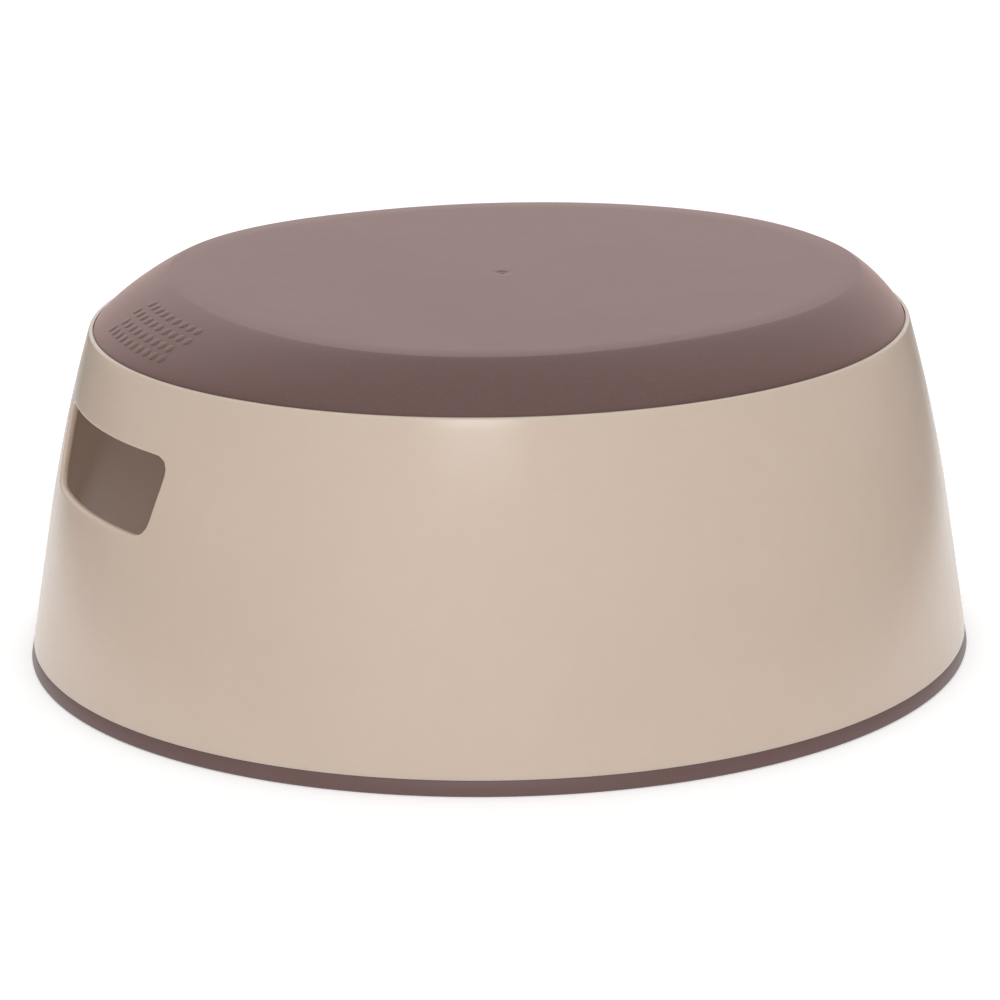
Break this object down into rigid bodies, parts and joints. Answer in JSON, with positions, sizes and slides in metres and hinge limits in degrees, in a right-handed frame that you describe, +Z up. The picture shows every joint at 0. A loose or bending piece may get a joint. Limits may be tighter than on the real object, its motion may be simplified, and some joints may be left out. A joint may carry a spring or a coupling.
{
  "type": "step stool",
  "caption": "Low oval one-step stool with a rigid ribbed shell, hand slots at both ends, a soft raised tread pad and a soft non-slip foot ring.",
  "frame": {"origin": "on the floor, at the centre of the foot ring's plan outline", "axes": "+Z up through the tread; +X along the longer plan axis, from the hand slot under the wide shoulder to the one under the narrow shoulder; +Y across"},
  "size_m": [0.376, 0.355, 0.148],
  "materials": {
    "shell": "smooth glossy warm beige moulding, slightly softer inside",
    "tread_pad": "fine matt grain, mauve brown soft elastomer",
    "foot_ring": "satin mauve brown soft elastomer"
  },
  "bodies": {
    "root": {"shell": "shell", "tread_pad": "tread_pad", "foot_ring": "foot_ring"}
  },
  "joints": []
}
